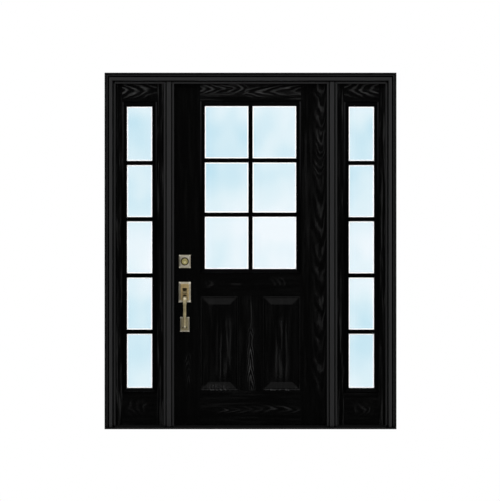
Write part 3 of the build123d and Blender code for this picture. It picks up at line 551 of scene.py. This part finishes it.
def dress_wood():
    """Grain follows each member: upright in stiles and panels, level in rails."""
    dress(black_oak("oak_hinge_stile", UP, [
        Arches(0.416, 1.840, -1, 0.42, 0.036, 0.54, 0.100, 6.0, 0.012, 1.7),
        Arches(0.414, 1.600, -1, 0.30, 0.036, 0.52, 0.046, 4.0, 0.012, 1.7),
        Arches(0.414, 0.870, -1, 1.60, 0.036, 0.36, 0.135, 7.0, 0.012, 2.0),
        Streaks(0.333, 1.330, 1.10, 0.045, 0.20),
    ], 0.10, 2.0), "hinge_stile")
    dress(black_oak("oak_lock_stile", UP, [
        Arches(-0.363, 0.34, 1, 0.22, 0.028, 0.42, 0.055, 5.0, 0.006),
    ], 0.06, 5.0), "lock_stile")
    dress(black_oak("oak_mid_stile", UP, [
        Arches(0.003, 0.28, 1, 0.84, 0.030, 0.62, 0.085, 8.0, 0.004),
        Streaks(0.001, 0.700, 0.300, 0.012, 0.40),
    ], 0.12, 10.5), "mid_stile")
    dress(black_oak("oak_top_rail", LEVEL, [
        Arches(-0.16, 1.985, 1, 0.42, 0.050, 0.66, 0.060, 3.0, 0.008),
        Arches(0.17, 1.975, -1, 0.44, 0.050, 0.74, 0.085, 4.0, 0.010),
    ], 0.36, 4.0), "top_rail")
    dress(black_oak("oak_lock_rail", LEVEL, [
        Arches(-0.234, 0.848, 1, 0.090, 0.028, 0.26, 0.050, 2.0, 0.008),
        Arches(0.166, 0.862, 1, 0.100, 0.036, 0.26, 0.036, 1.4, 0.010),
        Streaks(-0.084, 0.846, 0.080, 0.034, 0.22),
    ], 0.07, 12.0), "lock_rail")
    dress(black_oak("oak_bottom_rail", LEVEL, [
        Arches(0.05, 0.115, 1, 0.60, 0.032, 0.45, 0.075, 3.5, 0.006),
    ], 0.16, 15.0), "bottom_rail")
    dress(black_oak("oak_panels", UP, [
        Streaks(-0.150, 0.475, 0.42, 0.070, 0.38),
        Streaks(0.178, 0.475, 0.42, 0.070, 0.36),
        Streaks(-0.182, 0.236, 0.050, 0.160, 0.55),
        Streaks(0.182, 0.236, 0.050, 0.160, 0.55),
    ], 0.11, 20.0), "door_panels", "panel_mouldings")
    dress(black_oak("oak_sidelite_stiles", UP, [], 0.50, 24.0), "sidelite_stiles")
    dress(black_oak("oak_sidelite_rails", LEVEL, [
        Arches(-0.66, 1.980, 1, 0.34, 0.060, 0.70, 0.065, 2.6, 0.010),
        Arches(0.66, 1.980, -1, 0.34, 0.060, 0.70, 0.065, 2.6, 0.010),
        Arches(-0.662, 0.126, -1, 0.150, 0.066, 0.30, 0.042, 1.2, 0.022),
        Arches(0.662, 0.126, 1, 0.150, 0.066, 0.30, 0.042, 1.2, 0.022),
    ], 0.14, 28.0), "sidelite_rails")


def dress_frame():
    """Paint along each member, in the tone that it has in the photo, and the sill and seals. Tones below
    1 are painted shade on one black paint.
    """
    # Tones below 1 are painted shade: darker copies of one paint on the head, jambs, covers and mullions
    upright = frame_paint("frame_paint_upright", UP)
    level = frame_paint("frame_paint_level", LEVEL, 0.72)
    dress(upright, "brickmould_left", "brickmould_right")
    dress(frame_paint("jamb_paint", UP, 0.78), "jamb_left", "jamb_right")
    dress(frame_paint("cover_paint", UP, 0.94), "mullion_covers_outside", "mullion_covers_inside")
    dress(frame_paint("mullion_paint", UP, 0.74), "mullion_left", "mullion_right")
    dress(level, "brickmould_head", "jamb_head")
    dress(sill_metal("sill_metal"), "sill", "door_threshold", "sidelite_sill_blocks")
    dress(seal_rubber("seal_rubber"), "weatherstrip", "door_sweep")


def dress_glazing():
    """Trim, bars, glass and the light spacers inside it."""
    # The painted highlight lines sit just inside the outer edges of the beads
    highlight_inset = 0.003
    door_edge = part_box("door_glazing_beads")[1][0] - highlight_inset
    dress(glazing_trim("door_trim", (-door_edge, door_edge)), "door_glazing_beads")
    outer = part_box("sidelite_glazing_beads")[1][0] - highlight_inset
    inner = 2.0 * SIDELITE_X - outer
    dress(glazing_trim("sidelite_trim", (-outer, -inner, inner, outer)), "sidelite_glazing_beads")
    dress(glazing_trim("muntin_trim"), "door_muntins", "sidelite_muntins")
    dress(window_glass("door_window_glass", LEAF_MIDDLE_Y, [
        (0.92, 0.74), (1.02, 0.84), (1.16, 0.92), (1.30, 0.68), (1.50, 0.30), (1.72, 0.40), (1.90, 0.60),
    ], 0.55), "door_glass")
    dress(window_glass("sidelite_window_glass", SIDELITE_MIDDLE_Y, [
        (0.22, 0.60), (0.50, 0.20), (0.70, 0.40), (1.05, 0.85), (1.35, 0.35), (1.70, 0.30), (1.90, 0.60),
    ]), "sidelite_glass")
    dress(white_spacer("white_spacer"), "door_spacer_grid", "sidelite_spacer_grids")


def dress_locks():
    """Brass of the locks, hinges and strikes, darker round the key cylinder, with painted shade round
    the thumb slot and painted highlights on the grip and cylinder.
    """
    deadbolt_z = LOCK_HEIGHTS[1]
    slot_top_z = 0.819
    slot_foot_z = 0.7816
    grip_top_z = 0.765
    grip_foot_z = 0.594
    dress(brass_plate(
        "brass_rosette", "deadbolt_rosette", 0.009, GREY_BRASS, GREY_BRASS,
        [(LOCK_X, deadbolt_z, 0.0262, 0.0262)],
    ), "deadbolt_rosette")
    # The upper plate's two dark ovals are painted shade: at the top of the thumb slot and under the
    # thumb pad
    dress(brass_plate(
        "brass_upper_plate", "handle_plate_upper", 0.013, GOLDEN_BRASS, GREY_BRASS,
        [(LOCK_X, slot_top_z, 0.0185, 0.0050), (LOCK_X, slot_foot_z, 0.012, 0.0050)],
    ), "handle_plate_upper")
    dress(brass_plate(
        "brass_lower_plate", "handle_plate_lower", 0.008, DULL_BRASS, GREY_BRASS,
    ), "handle_plate_lower")
    # Painted highlights at the grip's top shoulder and at its foot
    highlit_ends = [(LOCK_X, grip_top_z, 0.022), (LOCK_X, grip_foot_z, 0.024)]
    dress(antique_brass("brass_grip", painted_highlights=highlit_ends), "handle_grip")
    # The spot a little below the cylinder's middle is a painted highlight
    dress(antique_brass(
        "brass_cylinder", YELLOW_BRASS, UP,
        [(LOCK_X, deadbolt_z - 0.004, 0.014)], (LOCK_X, deadbolt_z, 0.0185),
    ), "deadbolt_cylinder")
    dress(antique_brass("brass_thumb_latch"), "thumb_latch")
    inside = antique_brass("brass_inside", along=LEVEL)
    dress(inside, "inside_knob", "deadbolt_thumbturn", "edge_faceplates", "strike_plates")
    dress(inside, "hinge_leaves_frame", "hinge_leaves_door", "hinge_pins")


def smooth_round_nodes():
    """Shades curved faces smooth and leaves flat ones with their edges."""
    for name in ("handle_grip", "inside_knob", "deadbolt_cylinder", "deadbolt_thumbturn", "hinge_pins"):
        nodes[name].data.set_sharp_from_angle(angle=math.radians(35))
        for polygon in nodes[name].data.polygons:
            polygon.use_smooth = True


def add_piece(name, mesh, body, material, smooth=False):
    """Puts a new piece in the scene, on its body and with its finish."""
    mesh.materials.append(material)
    for polygon in mesh.polygons:
        polygon.use_smooth = smooth
    piece = bpy.data.objects.new(name, mesh)
    bpy.context.scene.collection.objects.link(piece)
    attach(piece, body)
    return piece


def strips(name, profile, reach, places):
    """Strips from one X to another, one at each Y and Z of places, all with the same profile."""
    shape = bmesh.new()
    for y, z in places:
        rings = []
        for x in reach:
            rings.append([shape.verts.new((x, y + out, z + up)) for out, up in profile])
        for index in range(len(profile)):
            following = (index + 1) % len(profile)
            shape.faces.new((rings[0][index], rings[0][following], rings[1][following], rings[1][index]))
        shape.faces.new(reversed(rings[0]))
        shape.faces.new(rings[1])
    bmesh.ops.recalc_face_normals(shape, faces=shape.faces)
    mesh = bpy.data.meshes.new(name)
    shape.to_mesh(mesh)
    shape.free()
    return mesh


def make_sweep_fins(material):
    """Three soft lips under the sweep, which reach almost down to the threshold."""
    low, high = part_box("door_sweep")
    threshold_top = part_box("door_threshold")[1][2]
    play = 0.00003
    drop = threshold_top - low[2] - play
    profile = [(-0.0008, 0.0003), (-0.0002, drop), (0.0006, drop), (0.0008, 0.0003)]
    places = [(low[1] + (high[1] - low[1]) * share, low[2]) for share in (0.15, 0.5, 0.85)]
    mesh = strips("sweep_fins", profile, (low[0], high[0]), places)
    add_piece("sweep_fins", mesh, "door_leaf", material)


def make_sill_ribs(material):
    """Low ribs along the front of the sill, for grip underfoot."""
    low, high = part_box("sill")
    profile = [(-0.0018, -0.0002), (-0.0010, 0.0007), (0.0010, 0.0007), (0.0018, -0.0002)]
    first = low[1] + 0.007
    spacing = 0.0065
    clear_end = 0.060
    places = [(first + spacing * step, high[2]) for step in range(5)]
    end = high[0] - clear_end
    mesh = strips("sill_ribs", profile, (-end, end), places)
    add_piece("sill_ribs", mesh, "frame", material)


def make_screws(name, body, places, outward, radius, material):
    """Flat screw heads with a sloped rim and a cross recess, one at each place."""
    rings = 9
    steps = 32
    recess = -0.18
    crown = 0.16
    cross_half_width = 0.13
    cross_reach = 0.62
    turn = Vector(outward).to_track_quat("Z", "Y").to_matrix().to_4x4()
    shape = bmesh.new()
    for number, place in enumerate(places):
        twist = Matrix.Rotation(0.7 * number + 0.3, 4, "Z")
        to_place = Matrix.Translation(place) @ turn @ twist
        middle = shape.verts.new(to_place @ Vector((0.0, 0.0, recess * radius)))
        previous = None
        for ring in range(1, rings + 1):
            share = ring / rings
            current = []
            for step in range(steps):
                angle = 2.0 * math.pi * step / steps
                x, y = share * math.cos(angle), share * math.sin(angle)
                in_cross = min(abs(x), abs(y)) < cross_half_width and share < cross_reach
                rise = recess if in_cross else crown * (1.0 - share ** 4)
                point = to_place @ Vector((x * radius, y * radius, rise * radius))
                current.append(shape.verts.new(point))
            for step in range(steps):
                following = (step + 1) % steps
                outer = (current[step], current[following])
                if previous is None:
                    shape.faces.new((middle, *outer))
                else:
                    shape.faces.new((previous[step], *outer, previous[following]))
            previous = current
    mesh = bpy.data.meshes.new(name)
    shape.to_mesh(mesh)
    shape.free()
    add_piece(name, mesh, body, material, True)


def make_all_screws(material):
    """Screws of the hinges, strikes and faceplates."""
    hinge_radius = 0.0042
    strike_radius = 0.0036
    faceplate_radius = 0.0034
    strike_half = 0.0265
    faceplate_half = 0.0225
    rabbet_depth = 0.0125
    bevel = math.radians(3)
    half_bevel = 0.00065
    offsets = ((0.012, -0.038), (0.024, -0.013), (0.012, 0.013), (0.024, 0.038))
    jamb_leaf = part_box("hinge_leaves_frame")
    door_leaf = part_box("hinge_leaves_door")
    frame_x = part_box("mullion_right")[0][0] + rabbet_depth
    leaf_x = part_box("hinge_stile")[1][0]
    front = jamb_leaf[0][1]
    back = door_leaf[0][1]
    on_frame = [(frame_x, front + y, middle + z) for middle in HINGE_HEIGHTS for y, z in offsets]
    on_door = [(leaf_x, back + y, middle + z) for middle in HINGE_HEIGHTS for y, z in offsets]
    make_screws("hinge_screws_frame", "frame", on_frame, (-1, 0, 0), hinge_radius, material)
    make_screws("hinge_screws_door", "door_leaf", on_door, (1, 0, 0), hinge_radius, material)
    strike_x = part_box("strike_plates")[1][0]
    face_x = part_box("edge_faceplates")[0][0] + half_bevel
    on_strikes = []
    on_faces = []
    for middle in LOCK_HEIGHTS:
        for side in (-1, 1):
            on_strikes.append((strike_x, LEAF_MIDDLE_Y, middle + side * strike_half))
            on_faces.append((face_x, LEAF_MIDDLE_Y, middle + side * faceplate_half))
    outward = (-math.cos(bevel), math.sin(bevel), 0)
    make_screws("strike_screws", "frame", on_strikes, (1, 0, 0), strike_radius, material)
    make_screws("faceplate_screws", "door_leaf", on_faces, outward, faceplate_radius, material)


def make_floor():
    """A plain pale floor under the sill."""
    mesh = bpy.data.meshes.new("floor")
    half = 9.0
    corners = [(-half, -half, 0), (half, -half, 0), (half, half, 0), (-half, half, 0)]
    mesh.from_pydata(corners, [], [(0, 1, 2, 3)])
    floor = bpy.data.objects.new("floor", mesh)
    bpy.context.scene.collection.objects.link(floor)
    g = Graph("floor_paint")
    cloud = g.noise(g.place(), 1.5, 2.0, 0.5)
    colour = g.ramp(cloud, [(0.0, (0.80, 0.80, 0.79)), (1.0, (0.86, 0.86, 0.85))])
    mesh.materials.append(g.finish(colour, 0.7))
    floor.visible_glossy = False


def make_world():
    """White behind the object; surfaces reflect a studio that is dark level with the eye."""
    world = bpy.data.worlds.new("studio")
    bpy.context.scene.world = world
    world.use_nodes = True
    tree = world.node_tree
    tree.nodes.clear()
    out = tree.nodes.new("ShaderNodeOutputWorld")
    mix = tree.nodes.new("ShaderNodeMixShader")
    seen = tree.nodes.new("ShaderNodeBackground")
    seen.inputs["Color"].default_value = (1.0, 1.0, 1.0, 1.0)
    studio = tree.nodes.new("ShaderNodeBackground")
    direction = tree.nodes.new("ShaderNodeTexCoord")
    split = tree.nodes.new("ShaderNodeSeparateXYZ")
    height = tree.nodes.new("ShaderNodeMapRange")
    height.inputs["From Min"].default_value = -1.0
    ramp = tree.nodes.new("ShaderNodeValToRGB")
    while len(ramp.color_ramp.elements) < len(STUDIO_STOPS):
        ramp.color_ramp.elements.new(0.5)
    for element, (level, light) in zip(ramp.color_ramp.elements, STUDIO_STOPS):
        element.position = (level + 1.0) / 2.0
        element.color = (light, light, light, 1.0)
    path = tree.nodes.new("ShaderNodeLightPath")
    tree.links.new(direction.outputs["Generated"], split.inputs[0])
    tree.links.new(split.outputs["Z"], height.inputs["Value"])
    tree.links.new(height.outputs["Result"], ramp.inputs["Fac"])
    tree.links.new(ramp.outputs["Color"], studio.inputs["Color"])
    tree.links.new(path.outputs["Is Camera Ray"], mix.inputs[0])
    tree.links.new(studio.outputs[0], mix.inputs[1])
    tree.links.new(seen.outputs[0], mix.inputs[2])
    tree.links.new(mix.outputs[0], out.inputs["Surface"])


def add_light(name, place, aim, size, power, mirrored=False):
    """A soft rectangle of light; surfaces show its reflection only where it is mirrored."""
    light = bpy.data.lights.new(name, "AREA")
    light.shape = "RECTANGLE"
    light.size, light.size_y = size
    light.energy = power
    lamp = bpy.data.objects.new(name, light)
    lamp.location = place
    lamp.rotation_euler = (Vector(aim) - Vector(place)).to_track_quat("-Z", "Y").to_euler()
    lamp.visible_glossy = mirrored
    bpy.context.scene.collection.objects.link(lamp)


def make_lights():
    """Soft lights: a large one high in front, a narrow one at each side, and one behind."""
    add_light("key", (0.0, -3.8, 2.7), (0.0, 0.0, 1.1), (4.0, 1.4), 95.0)
    add_light("fill_left", (-3.2, -3.4, 1.4), (0.0, 0.0, 1.0), (0.7, 2.4), 14.0, True)
    add_light("fill_right", (3.2, -3.4, 1.4), (0.0, 0.0, 1.0), (0.7, 2.4), 14.0, True)
    add_light("back", (0.0, 2.8, 3.4), (0.0, 0.1, 1.1), (4.0, 1.2), 110.0)


def make_camera():
    """A flat front view that puts each pixel of the photo on its place on the door."""
    data = bpy.data.cameras.new("camera")
    data.type = "ORTHO"
    data.ortho_scale = PHOTO_HEIGHT_PX * METRES_PER_PIXEL
    camera = bpy.data.objects.new("camera", data)
    camera.location = (
        (PHOTO_MIDDLE_PX[0] - DOOR_MIDDLE_PX) * METRES_PER_PIXEL,
        -CAMERA_DISTANCE,
        (FOOT_PX - PHOTO_MIDDLE_PX[1]) * METRES_PER_PIXEL,
    )
    camera.rotation_euler = (math.radians(90), 0.0, 0.0)
    bpy.context.scene.collection.objects.link(camera)
    bpy.context.scene.camera = camera


bpy.context.scene.view_settings.view_transform = "Standard"
make_camera()
make_world()
make_lights()
make_floor()
dress_wood()
dress_frame()
dress_glazing()
dress_locks()
smooth_round_nodes()
make_sweep_fins(seal_rubber("fin_rubber"))
make_sill_ribs(sill_metal("rib_metal"))
make_all_screws(antique_brass("brass_screws"))
